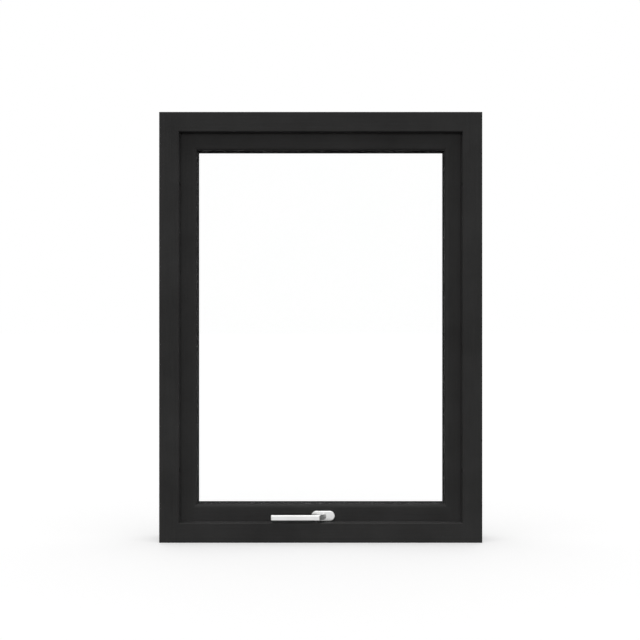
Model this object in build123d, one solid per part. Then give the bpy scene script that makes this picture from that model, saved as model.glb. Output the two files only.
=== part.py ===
from build123d import *
import os
from math import radians, tan

# A top-hung timber window that opens outwards, closed, with a satin metal lever handle.
# -Y is the room side, +Y the outside and +Z is up. Sizes are in millimetres.
# The origin is the middle of the sill's underside, at half the frame's depth.
# A section is drawn as (u, v): u inwards from the window's outer edge, v outwards from the room face.

# Whole window
window_width = 900.0
window_height = 1200.0
frame_depth = 105.0

# Frame: one moulded section for head and jambs, and a sill that falls outwards
frame_face = 54.5
rebate_step = 20.0
frame_arris = 2.0
outer_arris = 1.0
sill_fall_angle = 6.0
drip_groove_width = 5.0
drip_groove_depth = 4.0
drip_groove_setback = 9.0

# Fixing holes through the jambs, counterbored on the room side
fixing_hole_radius = 4.0
fixing_counterbore_radius = 7.0
fixing_counterbore_depth = 8.0
fixing_end_distance = 200.0

# Sash, hung in the frame's rebate
sash_gap = 5.0
seal_gap = 4.0
sash_setback = 5.0
sash_member_width = 61.0
sash_moulding_radius = 10.0
sash_arris = 2.0
glazing_lip = 15.0
glazing_rebate = 18.0

# Seal between stop and sash, pushed into a groove of the stop
seal_width = 8.0
seal_stem_width = 3.0
seal_stem_depth = 6.0
seal_rounding = 1.2

# Sealed triple glass unit with its tape and outer seal
pane_thickness = 4.0
cavity = 12.0
glass_edge_clearance = 4.0
spacer_height = 11.0
tape_thickness = 2.0
tape_width = 12.0
outer_seal_thickness = 3.0
outer_seal_width = 11.0

# Glazing beads on the outside
bead_thickness = 10.0
bead_slope = 4.0
bead_arris = 1.5
nose_projection = 10.0
nose_fall = 8.0
nose_lip = 3.5
nose_throat = 3.0

# Drip rail on the outside of the bottom rail
drip_rail_height = 20.0
drip_rail_projection = 19.0
drip_rail_nose = 5.0
drip_rail_arris = 1.5
drip_rail_end_gap = 6.0
drip_rail_lift = 3.0
drip_rail_groove_width = 2.5
drip_rail_groove_depth = 2.0
drip_rail_groove_setback = 6.5

# Hinges over the sash's upper edge
hinge_length = 75.0
hinge_end_distance = 150.0
leaf_thickness = 3.0
frame_leaf_height = 28.0
sash_leaf_height = 36.0
knuckle_radius = 6.0
knuckle_gap = 0.4
knuckle_clearance = 0.3
pin_radius = 3.0
pin_clearance = 0.1
pin_end_chamfer = 1.0
pin_end_length = 1.5

# Handle on the bottom rail
handle_offset = 6.6
rosette_length = 66.0
rosette_width = 29.0
rosette_thickness = 10.0
rosette_rounding = 2.0
rosette_lift = 0.3
lever_length = 146.0
grip_height = 14.6
grip_thickness = 12.0
grip_projection = 36.0
grip_rounding = 2.5
grip_tip_rounding = 4.0
shoulder_back = 10.5
shoulder_foot = 9.0
neck_radius = 9.4
neck_back = 28.0
neck_inset = 0.8
neck_rounding = 4.0
shoulder_arris = 0.4
neck_gap = 0.5
collar_radius = 8.5
collar_depth = 6.0
collar_clearance = 0.1
spindle_side = 7.0
spindle_clearance = 0.05
spindle_in_lever = 14.0
spindle_in_sash = 28.0
spindle_hole_radius = 6.0
spindle_hole_depth = 32.0

# Places worked out from the sizes above
half_width = window_width / 2
room_face = -frame_depth / 2
outside_face = frame_depth / 2
rebate_face = frame_face - rebate_step
sash_edge = rebate_face + sash_gap
glass_thickness = 3 * pane_thickness + 2 * cavity
sash_depth = glazing_lip + tape_thickness + glass_thickness + outer_seal_thickness + bead_thickness
sash_out = frame_depth - sash_setback
sash_room = sash_out - sash_depth
stop_depth = sash_room - seal_gap
sight_line = sash_edge + sash_member_width
glass_floor = sight_line - glazing_rebate
glass_edge = glass_floor + glass_edge_clearance
tape_room = sash_room + glazing_lip
inner_pane_room = tape_room + tape_thickness
middle_pane_room = inner_pane_room + pane_thickness + cavity
outer_pane_room = middle_pane_room + pane_thickness + cavity
glass_out = outer_pane_room + pane_thickness
bead_room = glass_out + outer_seal_thickness
seal_line = (sash_edge + frame_face) / 2
sash_room_y = room_face + sash_room
sash_out_y = room_face + sash_out
handle_height = frame_face + rosette_lift + rosette_width / 2


def rounded_section(outline, rounded_corners):
    """Closed section through the points of outline, with the named corners rounded."""
    section = make_face(Polyline(*outline, close=True))
    for corner, radius in rounded_corners:
        nearest = section.vertices().sort_by_distance(corner)[0]
        section = fillet(nearest, radius)
    return section


def left_bar(section, low, high):
    """Upright bar with its section's outer edge on the window's left side."""
    plane = Plane(origin=(-half_width, room_face, low), x_dir=(1, 0, 0), z_dir=(0, 0, 1))
    return extrude(plane * section, high - low)


def bottom_bar(section, half_length):
    """Level bar with its section's outer edge on the window's underside."""
    plane = Plane(origin=(half_length, room_face, 0), x_dir=(0, 0, 1), z_dir=(-1, 0, 0))
    return extrude(plane * section, 2 * half_length)


def top_bar(section, half_length):
    """Level bar with its section's outer edge on the window's upper side."""
    plane = Plane(origin=(-half_length, room_face, window_height), x_dir=(0, 0, -1), z_dir=(1, 0, 0))
    return extrude(plane * section, 2 * half_length)


def right_of(left_shape):
    """The same shape on the window's other side."""
    return mirror(left_shape, about=Plane.YZ)


def upper_of(lower_shape):
    """The same shape at the window's other end."""
    return mirror(lower_shape, about=Plane.XY.offset(window_height / 2))


def block(u, near, far):
    """Block of the window's outline set in by u, between two depths from the room face."""
    place = Pos(0, room_face + (near + far) / 2, window_height / 2)
    return place * Box(window_width - 2 * u, far - near, window_height - 2 * u)


def ring(outer, inner, near, far):
    """Rectangular ring between two distances from the outer edge and two depths."""
    return block(outer, near, far) - block(inner, near, far)


def mitre_cutter(edge, radius, near, far):
    """Prism that takes a left bar's rounded edge away where the lower bar's edge meets it at 45 degrees."""
    left = -half_width + edge
    outline = [
        (left, edge),
        (left - radius, edge - radius),
        (left - radius, -edge),
        (left + edge, -edge),
        (left + edge, edge),
    ]
    plane = Plane(origin=(0, room_face + near, 0), x_dir=(1, 0, 0), z_dir=(0, -1, 0))
    return extrude(plane * make_face(Polyline(*outline, close=True)), near - far)


def frame_section(outside_rebate_face):
    """Frame section: a stop on the room side and a rebate behind it."""
    outline = [
        (0, 0),
        (frame_face, 0),
        (frame_face, stop_depth),
        (rebate_face, stop_depth),
        (outside_rebate_face, frame_depth),
        (0, frame_depth),
    ]
    rounded_corners = [((frame_face, 0), frame_arris), ((outside_rebate_face, frame_depth), frame_arris)]
    return rounded_section(outline, rounded_corners)


def seal_stem():
    """Stem of the seal, which also cuts the groove that it sits in."""
    outer = seal_line - seal_stem_width / 2
    inner = seal_line + seal_stem_width / 2
    return ring(outer, inner, stop_depth - seal_stem_depth, stop_depth)


def make_frame():
    """Head and sill between full-height jambs, with the rounded edges mitred at the corners."""
    blank = chamfer(block(0, 0, frame_depth).edges(), outer_arris)
    jamb = left_bar(frame_section(rebate_face), 0, window_height)
    stop_mitre = mitre_cutter(frame_face, frame_arris, 0, stop_depth)
    rebate_mitre = mitre_cutter(rebate_face, frame_arris, stop_depth, frame_depth)
    jamb -= upper_of(stop_mitre)
    jamb -= upper_of(rebate_mitre)
    jamb -= stop_mitre
    for height in (fixing_end_distance, window_height - fixing_end_distance):
        hole = Plane(
            origin=(-half_width, room_face + stop_depth / 2, height),
            x_dir=(0, 1, 0),
            z_dir=(1, 0, 0),
        )
        jamb -= extrude(hole * Circle(fixing_hole_radius), frame_face)
        counterbore = hole.offset(frame_face - fixing_counterbore_depth)
        jamb -= extrude(counterbore * Circle(fixing_counterbore_radius), fixing_counterbore_depth)
    left_jamb = blank & jamb
    right_jamb = right_of(left_jamb)
    level_half_length = half_width - rebate_face + frame_arris
    sill_drop = (frame_depth - stop_depth) * tan(radians(sill_fall_angle))
    groove_place = Pos(drip_groove_depth / 2, frame_depth - drip_groove_setback)
    drip_groove = groove_place * Rectangle(drip_groove_depth, drip_groove_width)
    sill_bar = bottom_bar(frame_section(rebate_face - sill_drop) - drip_groove, level_half_length)
    head_bar = top_bar(frame_section(rebate_face), level_half_length)
    members = {
        "frame_left_jamb": left_jamb,
        "frame_right_jamb": right_jamb,
        "frame_head": (blank & head_bar) - left_jamb - right_jamb,
        "frame_sill": (blank & sill_bar) - left_jamb - right_jamb,
    }
    return {name: member - seal_stem() for name, member in members.items()}


def make_frame_seal():
    """Seal ring: a stem in the stop's groove and a rounded lip that the sash closes on."""
    outer = seal_line - seal_width / 2
    inner = seal_line + seal_width / 2
    lip = ring(outer, inner, stop_depth, sash_room)
    sash_side = lip.faces().sort_by(Axis.Y)[-1].edges()
    return {"frame_seal": fillet(sash_side, seal_rounding) + seal_stem()}


def make_sash():
    """Rails between full-height stiles, with a rounded moulding on the room side and a rebate for glass."""
    outline = [
        (sash_edge, sash_room),
        (sight_line, sash_room),
        (sight_line, tape_room),
        (glass_floor, tape_room),
        (glass_floor, sash_out),
        (sash_edge, sash_out),
    ]
    section = rounded_section(outline, [((sight_line, sash_room), sash_moulding_radius)])
    blank = block(sash_edge, sash_room, sash_out)
    blank = fillet(blank.faces().sort_by(Axis.Y)[-1].edges(), sash_arris)
    stile = left_bar(section, sash_edge, window_height - sash_edge)
    mitre = mitre_cutter(sight_line, sash_moulding_radius, sash_room, tape_room)
    stile -= mitre
    stile -= upper_of(mitre)
    left_stile = blank & stile
    right_stile = right_of(left_stile)
    rail_half_length = half_width - glass_floor
    top_rail = (blank & top_bar(section, rail_half_length)) - left_stile - right_stile
    bottom_rail = (blank & bottom_bar(section, rail_half_length)) - left_stile - right_stile
    spindle_hole = extrude(handle_plane(0) * Circle(spindle_hole_radius), -spindle_hole_depth)
    return {
        "sash_left_stile": left_stile,
        "sash_right_stile": right_stile,
        "sash_top_rail": top_rail,
        "sash_bottom_rail": bottom_rail - spindle_hole,
    }


def make_glass():
    """Three panes with a spacer ring in each cavity, bedded on tape and held by an outer seal."""
    nodes = {}
    for name, near in (
        ("inner_pane", inner_pane_room),
        ("middle_pane", middle_pane_room),
        ("outer_pane", outer_pane_room),
    ):
        nodes[name] = block(glass_edge, near, near + pane_thickness)
    spacer_inner = glass_edge + spacer_height
    for name, far in (("inner_spacer", middle_pane_room), ("outer_spacer", outer_pane_room)):
        nodes[name] = ring(glass_edge, spacer_inner, far - cavity, far)
    nodes["glazing_tape"] = ring(glass_edge, glass_edge + tape_width, tape_room, inner_pane_room)
    nodes["glazing_seal"] = ring(glass_edge, glass_edge + outer_seal_width, glass_out, bead_room)
    return nodes


def make_beads():
    """Bevelled beads at the top and sides, standing on a bottom bead with a nose that sheds rain."""
    bevel_end = sash_out - bead_slope
    side_outline = [
        (glass_floor, bead_room),
        (sight_line, bead_room),
        (sight_line, bevel_end),
        (glass_floor, sash_out),
    ]
    side_section = rounded_section(side_outline, [((sight_line, bevel_end), bead_arris)])
    nose_end = sash_out + nose_projection
    nose_top = sight_line - nose_fall
    nose_under = nose_top - nose_lip
    bottom_outline = [
        (glass_floor, bead_room),
        (sight_line, bead_room),
        (nose_top, nose_end),
        (nose_under, nose_end),
        (nose_under, sash_out + nose_throat),
        (nose_under - nose_throat, sash_out),
        (glass_floor, sash_out),
    ]
    bottom_section = rounded_section(bottom_outline, [((nose_top, nose_end), bead_arris)])
    bead_half_length = half_width - glass_floor
    bottom_bead = bottom_bar(bottom_section, bead_half_length)
    left_bead = left_bar(side_section, glass_floor, window_height - glass_floor) - bottom_bead
    right_bead = right_of(left_bead)
    top_bead = top_bar(side_section, bead_half_length) - left_bead - right_bead
    return {
        "bottom_bead": bottom_bead,
        "left_bead": left_bead,
        "right_bead": right_bead,
        "top_bead": top_bead,
    }


def make_drip_rail():
    """Sloped rail on the sash's outside face, with a groove under its nose."""
    low = sash_edge + drip_rail_lift
    nose_end = sash_out + drip_rail_projection
    outline = [
        (low, sash_out),
        (low, nose_end),
        (low + drip_rail_nose, nose_end),
        (low + drip_rail_height, sash_out),
    ]
    rounded_corners = [((low, nose_end), drip_rail_arris), ((low + drip_rail_nose, nose_end), drip_rail_arris)]
    groove_place = Pos(low + drip_rail_groove_depth / 2, nose_end - drip_rail_groove_setback)
    groove = groove_place * Rectangle(drip_rail_groove_depth, drip_rail_groove_width)
    section = rounded_section(outline, rounded_corners) - groove
    return {"drip_rail": bottom_bar(section, half_width - sash_edge - drip_rail_end_gap)}


def make_hinges():
    """Two hinges: frame leaf with two knuckles, cranked sash leaf with one knuckle, and a pin."""
    axis_y = outside_face + knuckle_radius + knuckle_clearance
    axis_z = window_height - rebate_face - sash_gap / 2
    knuckle_length = hinge_length / 3
    side = Plane(origin=(0, 0, 0), x_dir=(0, 1, 0), z_dir=(1, 0, 0))

    def slab(section, start, length):
        return Pos(start, 0, 0) * extrude(side * section, length)

    def plate(y_low, y_high, z_low, z_high):
        return Pos((y_low + y_high) / 2, (z_low + z_high) / 2) * Rectangle(y_high - y_low, z_high - z_low)

    knuckle = Pos(axis_y, axis_z) * Circle(knuckle_radius)
    bore = Pos(axis_y, axis_z) * Circle(pin_radius + pin_clearance)
    start = -hinge_length / 2

    frame_plate = plate(outside_face, outside_face + leaf_thickness, axis_z, axis_z + frame_leaf_height)
    frame_leaf = slab(frame_plate + knuckle - bore, start, hinge_length)
    knuckle_room = knuckle_radius + knuckle_clearance
    notch = plate(outside_face, axis_y + knuckle_room, axis_z - knuckle_room, axis_z + knuckle_room)
    frame_leaf -= slab(notch, start + knuckle_length, knuckle_length)

    sash_plate_top = axis_z - knuckle_radius
    sash_plate = plate(sash_out_y, sash_out_y + leaf_thickness, axis_z - sash_leaf_height, sash_plate_top)
    crank = make_face(
        Polyline(
            (sash_out_y, sash_plate_top),
            (sash_out_y, sash_plate_top - 2 * leaf_thickness),
            (sash_out_y + leaf_thickness, sash_plate_top - 2 * leaf_thickness),
            (axis_y, axis_z - knuckle_radius),
            (axis_y, axis_z),
            (axis_y - knuckle_radius, axis_z),
            close=True,
        )
    )
    crank_start = start + knuckle_length + knuckle_gap
    crank_length = knuckle_length - 2 * knuckle_gap
    sash_leaf = slab(sash_plate, start, hinge_length)
    sash_leaf += slab(crank + knuckle - bore, crank_start, crank_length)

    pin_length = hinge_length + 2 * pin_end_length
    pin = slab(Pos(axis_y, axis_z) * Circle(pin_radius), start - pin_end_length, pin_length)
    pin = chamfer(pin.edges().filter_by(GeomType.CIRCLE), pin_end_chamfer)

    nodes = {}
    centre = half_width - hinge_end_distance
    for side_name, place in (("left", Pos(-centre, 0, 0)), ("right", Pos(centre, 0, 0))):
        nodes[side_name + "_hinge_frame_leaf"] = place * frame_leaf
        nodes[side_name + "_hinge_sash_leaf"] = place * sash_leaf
        nodes[side_name + "_hinge_pin"] = place * pin
    return nodes


def handle_plane(projection):
    """Plane across the spindle, at a distance in front of the sash and facing the room."""
    origin = (handle_offset, sash_room_y - projection, handle_height)
    return Plane(origin=origin, x_dir=(1, 0, 0), z_dir=(0, -1, 0))


def make_handle():
    """Rosette on the sash, and a lever whose neck and grip end together in one flat slanted face."""
    rosette = extrude(handle_plane(0) * SlotOverall(rosette_length, rosette_width), rosette_thickness)
    front_edges = rosette.faces().sort_by(Axis.Y)[0].edges()
    rosette = fillet(front_edges, rosette_rounding)
    rosette -= extrude(handle_plane(0) * Circle(collar_radius + collar_clearance), rosette_thickness)

    grip_back = grip_projection - grip_thickness
    grip_outline = [
        (-lever_length, -grip_back),
        (neck_radius, -grip_back),
        (neck_radius, -grip_projection),
        (-lever_length, -grip_projection),
    ]
    grip_plane = Plane(origin=(handle_offset, sash_room_y, handle_height - grip_height / 2))
    tip_corners = [
        ((-lever_length, -grip_back), grip_tip_rounding),
        ((-lever_length, -grip_projection), grip_tip_rounding),
    ]
    grip = extrude(grip_plane * rounded_section(grip_outline, tip_corners), grip_height)
    rims = grip.faces().filter_by(Axis.Z).edges()
    grip = fillet(rims, grip_rounding)

    neck_start = rosette_thickness + neck_gap
    neck_end = grip_back + grip_thickness / 2
    neck_length = neck_radius + neck_back
    neck_foot = handle_plane(neck_start) * Circle(neck_radius)
    neck_place = Pos(neck_radius - neck_length / 2, 0)
    neck_outline = RectangleRounded(neck_length, grip_height - 2 * neck_inset, neck_rounding)
    neck = loft([neck_foot, handle_plane(neck_end) * neck_place * neck_outline])
    run = shoulder_foot + shoulder_back
    rise = grip_projection - neck_start
    cut_outline = [
        (shoulder_foot, -neck_start),
        (shoulder_foot - 2 * run, -neck_start - 2 * rise),
        (shoulder_foot + run, -neck_start - 2 * rise),
        (shoulder_foot + run, -neck_start),
    ]
    cut_plane = Plane(origin=(handle_offset, sash_room_y, handle_height - 2 * neck_radius))
    slanted_cut = extrude(cut_plane * make_face(Polyline(*cut_outline, close=True)), 4 * neck_radius)
    collar_start = rosette_thickness - collar_depth
    collar = extrude(handle_plane(collar_start) * Circle(collar_radius), collar_depth + neck_gap)
    socket_side = spindle_side + 2 * spindle_clearance
    socket_start = collar_start
    socket = extrude(handle_plane(socket_start) * Rectangle(socket_side, socket_side), spindle_in_lever)
    lever = grip + neck - slanted_cut
    shoulder = [face for face in lever.faces().filter_by(GeomType.PLANE) if face.normal_at().X > 0.5][0]
    shoulder_rim = shoulder.edges().sort_by(Axis.Y)[:-1]
    lever = chamfer(shoulder_rim, shoulder_arris) + collar - socket

    spindle_length = spindle_in_sash + socket_start + spindle_in_lever
    spindle = extrude(handle_plane(-spindle_in_sash) * Rectangle(spindle_side, spindle_side), spindle_length)
    return {"handle_rosette": rosette, "handle_lever": lever, "handle_spindle": spindle}


os.makedirs("parts", exist_ok=True)
window = {}
for make_pieces in (
    make_frame,
    make_frame_seal,
    make_sash,
    make_glass,
    make_beads,
    make_drip_rail,
    make_hinges,
    make_handle,
):
    window.update(make_pieces())
for node, shape in window.items():
    export_step(shape, "parts/" + node + ".step")
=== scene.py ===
import bpy
import numpy as np
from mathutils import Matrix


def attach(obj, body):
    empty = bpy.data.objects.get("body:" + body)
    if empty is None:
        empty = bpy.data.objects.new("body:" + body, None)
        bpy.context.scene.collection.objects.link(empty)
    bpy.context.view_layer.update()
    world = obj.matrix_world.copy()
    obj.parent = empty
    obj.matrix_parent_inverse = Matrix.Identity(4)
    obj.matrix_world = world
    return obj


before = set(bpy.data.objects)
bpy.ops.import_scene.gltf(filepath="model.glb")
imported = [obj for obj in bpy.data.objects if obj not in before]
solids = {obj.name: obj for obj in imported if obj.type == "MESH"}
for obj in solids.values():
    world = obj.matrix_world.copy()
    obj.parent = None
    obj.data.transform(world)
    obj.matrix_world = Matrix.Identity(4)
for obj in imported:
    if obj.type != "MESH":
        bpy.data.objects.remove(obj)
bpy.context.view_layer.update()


# Outer frame: head, sill and two jambs of laminated pine, planed, glued at the corners and sprayed with matt
# near-black paint. The grain runs along each member and shows only as faint ribs under the paint.
UPRIGHT_GRAIN = (1.0, 1.0, 0.035)
LEVEL_GRAIN = (0.035, 1.0, 1.0)
PAINT_DARK = (0.0192, 0.0190, 0.0189)
PAINT_LIGHT = (0.0264, 0.0262, 0.0261)
PAINT_GLOSS = 0.03


def begin_finish(name):
    """A new node material, its tree, its surface shader and the object's own coordinates in metres."""
    finish = bpy.data.materials.new(name)
    finish.use_nodes = True
    tree = finish.node_tree
    return finish, tree, tree.nodes["Principled BSDF"], put(tree, "TexCoord").outputs["Object"]


def put(tree, kind, sockets=None, **settings):
    """One node with its settings, each named or numbered socket filled by a value or linked to an output."""
    made = tree.nodes.new("ShaderNode" + kind)
    for setting, value in settings.items():
        setattr(made, setting, value)
    for socket, value in (sockets or {}).items():
        if isinstance(value, bpy.types.NodeSocket):
            tree.links.new(value, made.inputs[socket])
        else:
            made.inputs[socket].default_value = value
    return made


def speckle(tree, place, scale, detail=3.0, wander=0.0):
    """Height between 0 and 1 of a cloudy noise, scale lumps to the metre."""
    values = {"Vector": place, "Scale": scale, "Detail": detail, "Roughness": 0.55, "Distortion": wander}
    return put(tree, "TexNoise", values).outputs[0]


def drawn_out(tree, place, along):
    """Place squeezed by along on each axis, so that a noise read there is drawn out on the smallest one."""
    return put(tree, "Mapping", {"Vector": place, "Scale": along}).outputs[0]


def spread(tree, value, low, high, start=0.3, end=0.7):
    """Value carried in a straight line from the span start..end to the span low..high."""
    values = {0: value, 1: start, 2: end, 3: low, 4: high}
    return put(tree, "MapRange", values).outputs[0]


def weigh(tree, first, second, share):
    """First and second added, with share of the second."""
    return put(tree, "Math", {0: second, 1: share, 2: first}, operation="MULTIPLY_ADD").outputs[0]


def tint(tree, value, dark, light):
    """Colour between dark at value 0.3 and light at value 0.7."""
    ramp = put(tree, "ValToRGB", {0: value})
    ramp.color_ramp.elements[0].position = 0.3
    ramp.color_ramp.elements[0].color = (*dark, 1)
    ramp.color_ramp.elements[1].position = 0.7
    ramp.color_ramp.elements[1].color = (*light, 1)
    return ramp.outputs[0]


def dress(tree, shader, colour, dullness):
    """Colour and roughness that vary over the surface, led to the shader."""
    tree.links.new(colour, shader.inputs["Base Color"])
    tree.links.new(dullness, shader.inputs["Roughness"])


def relief(tree, shader, height, strength, depth):
    """Height as fine relief on the shader, depth metres from lowest to highest."""
    bump = put(tree, "Bump", {"Strength": strength, "Distance": depth, "Height": height})
    tree.links.new(bump.outputs[0], shader.inputs["Normal"])


def painted_timber(name, along, gloss):
    """Paint over pine: ribs are noise drawn out thirty times along the member, with sprayed grain and soft clouds."""
    finish, tree, shader, place = begin_finish(name)
    ribs = speckle(tree, drawn_out(tree, place, along), 240.0, 5.0, 0.5)
    spray = speckle(tree, place, 1500.0, 2.0)
    clouds = speckle(tree, place, 8.0, 4.0)
    tone = spread(tree, weigh(tree, clouds, ribs, 0.35), 0.3, 0.7, 0.45, 0.9)
    dullness = spread(tree, weigh(tree, clouds, spray, 0.5), 0.5, 0.62, 0.5, 1.0)
    dress(tree, shader, tint(tree, tone, PAINT_DARK, PAINT_LIGHT), dullness)
    shader.inputs["Specular IOR Level"].default_value = gloss
    relief(tree, shader, weigh(tree, ribs, spray, 0.4), 0.6, 0.0005)
    return finish


def coat(finish, *names):
    """The finish takes the place of whatever these CAD nodes carry."""
    for name in names:
        solids[name].data.materials.clear()
        solids[name].data.materials.append(finish)


upright_paint = painted_timber("painted_timber_upright", UPRIGHT_GRAIN, PAINT_GLOSS)
level_paint = painted_timber("painted_timber_level", LEVEL_GRAIN, PAINT_GLOSS)
coat(upright_paint, "frame_left_jamb", "frame_right_jamb")
coat(level_paint, "frame_head", "frame_sill")


# Frame seal: a black rubber profile in a groove of the stop, pressed flat by the closed sash. Extruded, so it is
# dull and even. The tape and the outer seal of the glass are cut from the same rubber.
RUBBER_DARK = (0.010, 0.010, 0.010)
RUBBER_LIGHT = (0.017, 0.017, 0.017)
rubber, tree, shader, place = begin_finish("black_rubber")
bloom = speckle(tree, place, 60.0, 3.0)
grit = speckle(tree, place, 2200.0, 2.0)
dress(tree, shader, tint(tree, bloom, RUBBER_DARK, RUBBER_LIGHT), spread(tree, grit, 0.66, 0.82))
shader.inputs["Specular IOR Level"].default_value = 0.25
relief(tree, shader, grit, 0.3, 0.0001)
coat(rubber, "frame_seal", "glazing_tape", "glazing_seal")


# Sash: two stiles and two rails of the same pine and paint, glued at the corners, with a quarter-round moulding
# towards the glass. It hangs in the frame's rebate, behind the stop.
coat(upright_paint, "sash_left_stile", "sash_right_stile")
coat(level_paint, "sash_top_rail", "sash_bottom_rail")


# Sealed glass: three clear float panes, cut, seamed and coated so that they reflect little at a right angle. Light
# and shadow go straight through them.
GLASS_FILM = (0.997, 0.999, 0.998)
GLASS_CLEAR = (1.0, 1.0, 1.0)
glass, tree, shader, place = begin_finish("clear_glass")
film = speckle(tree, place, 5.0, 4.0)
tree.links.new(tint(tree, film, GLASS_FILM, GLASS_CLEAR), shader.inputs["Base Color"])
shader.inputs["Roughness"].default_value = 0.0
shader.inputs["IOR"].default_value = 1.5
shader.inputs["Specular Tint"].default_value = (0.1, 0.1, 0.1, 1)
shader.inputs["Transmission Weight"].default_value = 1.0
panes = ("inner_pane", "middle_pane", "outer_pane")
coat(glass, *panes)
for pane in panes:
    solids[pane].visible_shadow = False
    solids[pane].visible_diffuse = False


# Spacers: black edge bars of moulded plastic between the panes, bent from one length, with the sealant behind
# them. Their inward face is matt and faintly grained.
SPACER_DARK = (0.022, 0.022, 0.023)
SPACER_LIGHT = (0.034, 0.034, 0.035)
edge_bar, tree, shader, place = begin_finish("edge_spacer")
grain = speckle(tree, place, 1200.0, 2.0)
dress(tree, shader, tint(tree, grain, SPACER_DARK, SPACER_LIGHT), spread(tree, grain, 0.6, 0.75))
shader.inputs["Specular IOR Level"].default_value = 0.0
relief(tree, shader, grain, 0.2, 0.0001)
coat(edge_bar, "inner_spacer", "outer_spacer")


# Glazing beads at the top and sides: bevelled pine with a duller coat of the same paint, screwed on from outside.
# The screws are turned steel, black, with a low lens head and a six-lobed recess.
BEAD_GLOSS = 0.0
BLACK_COAT_DARK = (0.020, 0.020, 0.021)
BLACK_COAT_LIGHT = (0.030, 0.030, 0.031)
BEAD_FACE_Y = 0.0458
SIDE_BEAD_X = 0.36
SIDE_SCREW_HEIGHTS = (0.17, 0.456, 0.742, 1.028)
TOP_BEAD_Z = 1.11
TOP_SCREW_X = (-0.28, 0, 0.28)
BEAD_SCREW = {"radius": 0.0026, "rise": 0.0007}
coat(painted_timber("painted_bead_upright", UPRIGHT_GRAIN, BEAD_GLOSS), "left_bead", "right_bead")
coat(painted_timber("painted_bead_level", LEVEL_GRAIN, BEAD_GLOSS), "top_bead")

black_coat, tree, shader, place = begin_finish("hinge_metal")
grain = speckle(tree, place, 900.0, 3.0)
dress(tree, shader, tint(tree, grain, BLACK_COAT_DARK, BLACK_COAT_LIGHT), spread(tree, grain, 0.34, 0.46))
shader.inputs["Specular IOR Level"].default_value = 0.4
relief(tree, shader, grain, 0.2, 0.0001)


def screw_heads(name, middles, outward, radius, rise):
    """Screw heads in metres: around each axis, ring k lies at its share of the radius, lobed inside the recess as
    1 + 0.14 cos 6a over the angle a, and at its share of the rise. A pole closes each head below and above."""
    shares = np.array([0.96, 1.0, 0.97, 0.88, 0.75, 0.60, 0.46, 0.43, 0.40])
    heights = np.array([-0.3, 0.0, 0.25, 0.54, 0.80, 0.95, 1.0, 0.92, 0.3])
    lobed = np.array([0, 0, 0, 0, 0, 0, 1, 1, 1])
    around = 48
    angle = np.linspace(0, 2 * np.pi, around, endpoint=False)
    reach = radius * shares[:, None] * (1 + 0.14 * lobed[:, None] * np.cos(6 * angle))
    axis = np.array(outward) / np.linalg.norm(outward)
    across = np.cross(axis, (0, 0, 1)) / np.linalg.norm(np.cross(axis, (0, 0, 1)))
    upward = np.cross(axis, across)
    flat = np.cos(angle)[:, None] * across + np.sin(angle)[:, None] * upward
    rings = reach[:, :, None] * flat + rise * heights[:, None, None] * axis
    poles = rise * heights[[0, -1], None] * axis
    head = np.concatenate([rings.reshape(-1, 3), poles])
    points = (np.array(middles)[:, None, :] + head).reshape(-1, 3)

    step = np.arange(around)
    after = (step + 1) % around
    row = around * np.arange(len(shares) - 1)[:, None]
    last_row = around * (len(shares) - 1)
    low_pole, high_pole = len(head) - 2, len(head) - 1
    walls = np.stack([row + step, row + after, row + around + after, row + around + step], axis=-1).reshape(-1, 4)
    below = np.stack([np.full(around, low_pole), after, step], axis=-1)
    above = np.stack([last_row + step, last_row + after, np.full(around, high_pole)], axis=-1)
    starts = len(head) * np.arange(len(middles))[:, None, None]
    quads = (walls + starts).reshape(-1, 4)
    triangles = (np.concatenate([below, above]) + starts).reshape(-1, 3)

    mesh = bpy.data.meshes.new(name)
    mesh.from_pydata(points.tolist(), [], quads.tolist() + triangles.tolist())
    mesh.shade_smooth()
    mesh.set_sharp_from_angle(angle=np.radians(40))
    mesh.materials.append(black_coat)
    piece = bpy.data.objects.new(name, mesh)
    bpy.context.scene.collection.objects.link(piece)
    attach(piece, "window")


left_middles = [(-SIDE_BEAD_X, BEAD_FACE_Y, z) for z in SIDE_SCREW_HEIGHTS]
right_middles = [(SIDE_BEAD_X, BEAD_FACE_Y, z) for z in SIDE_SCREW_HEIGHTS]
top_middles = [(x, BEAD_FACE_Y, TOP_BEAD_Z) for x in TOP_SCREW_X]
screw_heads("left_bead_screws", left_middles, (4, 18, 0), **BEAD_SCREW)
screw_heads("right_bead_screws", right_middles, (-4, 18, 0), **BEAD_SCREW)
screw_heads("top_bead_screws", top_middles, (0, 18, -4), **BEAD_SCREW)


# Bottom bead and drip rail: extruded aluminium, sawn to length and powder coated in the paint's colour. The powder
# melts to a fine even grain.
POWDER_DARK = (0.020, 0.020, 0.020)
POWDER_LIGHT = (0.027, 0.027, 0.027)
powder, tree, shader, place = begin_finish("coated_aluminium")
grain = speckle(tree, place, 2600.0, 2.0)
clouds = speckle(tree, place, 14.0, 3.0)
colour = tint(tree, weigh(tree, clouds, grain, 0.3), POWDER_DARK, POWDER_LIGHT)
dress(tree, shader, colour, spread(tree, grain, 0.4, 0.52))
shader.inputs["Specular IOR Level"].default_value = 0.25
relief(tree, shader, grain, 0.3, 0.0001)
coat(powder, "bottom_bead", "drip_rail")


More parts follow.
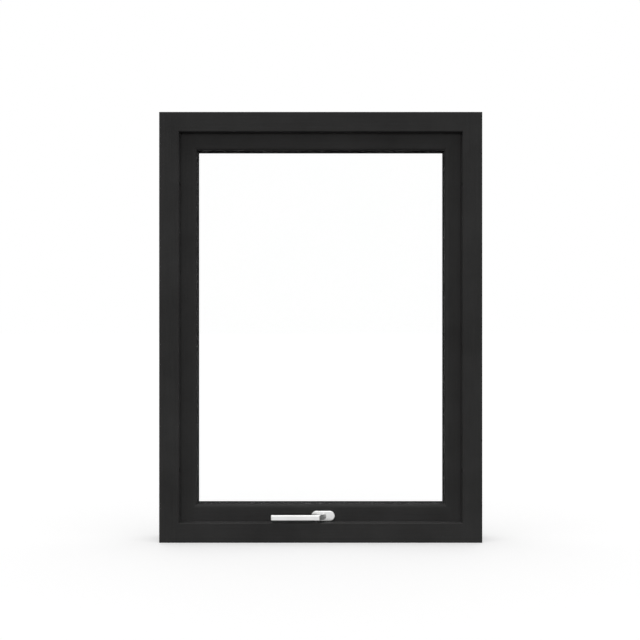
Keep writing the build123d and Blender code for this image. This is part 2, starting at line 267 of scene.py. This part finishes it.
# Hinges: stamped steel leaves rolled round a steel pin and coated satin black, each leaf held by three larger
# screws of the beads' kind.
LEAF_SCREW_SPACING = 0.027
FRAME_LEAF_FACE_Y, FRAME_LEAF_SCREW_Z = 0.0555, 1.180
SASH_LEAF_FACE_Y, SASH_LEAF_SCREW_Z = 0.0505, 1.139
HINGE_SCREW = {"radius": 0.004, "rise": 0.0011}
for hinge, middle in (("left_hinge", -0.3), ("right_hinge", 0.3)):
    coat(black_coat, hinge + "_frame_leaf", hinge + "_sash_leaf", hinge + "_pin")
    across_leaf = (middle - LEAF_SCREW_SPACING, middle, middle + LEAF_SCREW_SPACING)
    on_frame_leaf = [(x, FRAME_LEAF_FACE_Y, FRAME_LEAF_SCREW_Z) for x in across_leaf]
    on_sash_leaf = [(x, SASH_LEAF_FACE_Y, SASH_LEAF_SCREW_Z) for x in across_leaf]
    screw_heads(hinge + "_frame_screws", on_frame_leaf, (0, 1, 0), **HINGE_SCREW)
    screw_heads(hinge + "_sash_screws", on_sash_leaf, (0, 1, 0), **HINGE_SCREW)


# Handle: die-cast rosette and lever, ground and plated to a satin shine. They sit on a square spindle of drawn
# steel that goes into the bottom rail.
PLATING_DARK = (0.735, 0.735, 0.73)
PLATING_LIGHT = (0.785, 0.785, 0.78)
STEEL_DARK = (0.50, 0.50, 0.51)
STEEL_LIGHT = (0.60, 0.60, 0.61)
SPINDLE_GRAIN = (1.0, 0.02, 1.0)
plating, tree, shader, place = begin_finish("satin_handle")
peel = speckle(tree, place, 700.0, 2.0)
clouds = speckle(tree, place, 40.0, 3.0)
dress(tree, shader, tint(tree, clouds, PLATING_DARK, PLATING_LIGHT), spread(tree, peel, 0.31, 0.39))
shader.inputs["Metallic"].default_value = 1.0
relief(tree, shader, peel, 0.15, 0.0001)
coat(plating, "handle_rosette", "handle_lever")

steel, tree, shader, place = begin_finish("spindle_steel")
lines = speckle(tree, drawn_out(tree, place, SPINDLE_GRAIN), 1600.0, 3.0)
dress(tree, shader, tint(tree, lines, STEEL_DARK, STEEL_LIGHT), spread(tree, lines, 0.3, 0.45))
shader.inputs["Metallic"].default_value = 1.0
relief(tree, shader, lines, 0.2, 0.0001)
coat(steel, "handle_spindle")


# Studio: a pale floor, white to the eye and in reflections, that keeps the soft shadow of an even sky. Softboxes
# overhead, in front, behind and at the sides light the window and not the floor.
SKY = 0.3
FLOOR_SHADE = 0.84
FLOOR_BOUNCE = 0.16
FLOOR_GLOW = 0.357
FLOOR_REACH = 40
WHITE = (1, 1, 1, 1)
corners = [(-FLOOR_REACH, -FLOOR_REACH, 0), (FLOOR_REACH, -FLOOR_REACH, 0)]
corners += [(FLOOR_REACH, FLOOR_REACH, 0), (-FLOOR_REACH, FLOOR_REACH, 0)]
ground = bpy.data.meshes.new("floor")
ground.from_pydata(corners, [], [(0, 1, 2, 3)])
floor = bpy.data.objects.new("floor", ground)
bpy.context.scene.collection.objects.link(floor)


def seen_share(tree):
    """1 for a ray that comes from the camera, a reflection or glass, and 0 for light on its way to a surface."""
    rays = put(tree, "LightPath").outputs
    values = {0: rays["Is Camera Ray"], 1: rays["Is Glossy Ray"]}
    looked_at = put(tree, "Math", values, operation="MAXIMUM").outputs[0]
    values = {0: looked_at, 1: rays["Is Transmission Ray"]}
    return put(tree, "Math", values, operation="MAXIMUM").outputs[0]


pale_floor = bpy.data.materials.new("pale_floor")
pale_floor.use_nodes = True
tree = pale_floor.node_tree
tree.nodes.clear()
seen = seen_share(tree)
lit = put(tree, "BsdfDiffuse", {"Color": (FLOOR_SHADE, FLOOR_SHADE, FLOOR_SHADE, 1)})
bounce = put(tree, "BsdfDiffuse", {"Color": (FLOOR_BOUNCE, FLOOR_BOUNCE, FLOOR_BOUNCE, 1)})
shade = put(tree, "MixShader", {0: seen, 1: bounce.outputs[0], 2: lit.outputs[0]})
glow_strength = put(tree, "Math", {0: seen, 1: FLOOR_GLOW}, operation="MULTIPLY").outputs[0]
glow = put(tree, "Emission", {"Color": WHITE, "Strength": glow_strength})
both = put(tree, "AddShader", {0: shade.outputs[0], 1: glow.outputs[0]})
put(tree, "OutputMaterial", {"Surface": both.outputs[0]})
ground.materials.append(pale_floor)

sky = bpy.data.worlds.new("sky")
bpy.context.scene.world = sky
sky.use_nodes = True
tree = sky.node_tree
tree.nodes.clear()
lighting = put(tree, "Background", {"Color": WHITE, "Strength": SKY})
backdrop = put(tree, "Background", {"Color": WHITE, "Strength": 1.0})
either = put(tree, "MixShader", {0: seen_share(tree), 1: lighting.outputs[0], 2: backdrop.outputs[0]})
put(tree, "OutputWorld", {"Surface": either.outputs[0]})


def linked(name, state):
    """A lamp's receivers: the floor alone, or all but the floor."""
    receivers = bpy.data.collections.new(name)
    receivers.objects.link(floor)
    receivers.collection_objects[0].light_linking.link_state = state
    return receivers


def shine(name, kind, elevation, bearing, level, receivers, glossy=False, **settings):
    """A lamp 9 m off, aimed at the window's middle, giving a face turned to it the brightness level of its colour.
    A glossy one shows only in reflections, any other only on matt surfaces."""
    distance = 9
    lamp = bpy.data.lights.new(name, kind)
    for setting, value in settings.items():
        setattr(lamp, setting, value)
    lamp.energy = level * np.pi * (np.pi * distance**2 if kind == "AREA" else 1)
    stand = bpy.data.objects.new(name, lamp)
    up, round_about = np.radians(elevation), np.radians(bearing)
    away = np.array([np.sin(round_about) * np.cos(up), -np.cos(round_about) * np.cos(up), np.sin(up)])
    stand.location = np.array([0, 0, 0.6]) + distance * away
    stand.rotation_euler = (np.pi / 2 - up, 0, round_about)
    stand.visible_camera = False
    stand.visible_glossy = glossy
    stand.visible_diffuse = not glossy
    stand.visible_transmission = False
    stand.light_linking.receiver_collection = receivers
    bpy.context.scene.collection.objects.link(stand)


floor_alone = linked("floor_alone", "INCLUDE")
all_but_floor = linked("all_but_floor", "EXCLUDE")
softbox = {"shape": "RECTANGLE", "size": 4.0, "size_y": 2.7}
shine("floor_dome", "SUN", 90, 0, 0.5, floor_alone, angle=np.pi)
shine("overhead", "SUN", 85, 0, 1.085, all_but_floor, angle=np.radians(37))
shine("sheen", "SUN", 85, 0, 1.05, all_but_floor, glossy=True, angle=np.radians(90))
shine("front", "AREA", 5, 0, 0.58, all_but_floor, **softbox)
shine("back", "AREA", 5, 180, 0.62, all_but_floor, **softbox)
shine("left", "AREA", 8, -82, 0.55, all_but_floor, size=4.0)
shine("right", "AREA", 8, 82, 0.55, all_but_floor, size=4.0)


# Camera: level, square to the window and a little above its middle, 2.7 m in front of the frame's face. The lens is
# given on a sensor 36 mm wide.
EYE = (-0.002, -2.7725, 0.6205)
lens = bpy.data.cameras.new("camera")
lens.sensor_width = 36.0
lens.lens = 54.96
camera = bpy.data.objects.new("camera", lens)
camera.location = EYE
camera.rotation_euler = (np.pi / 2, 0, 0)
bpy.context.scene.collection.objects.link(camera)
bpy.context.scene.camera = camera
bpy.context.scene.view_settings.view_transform = "Standard"
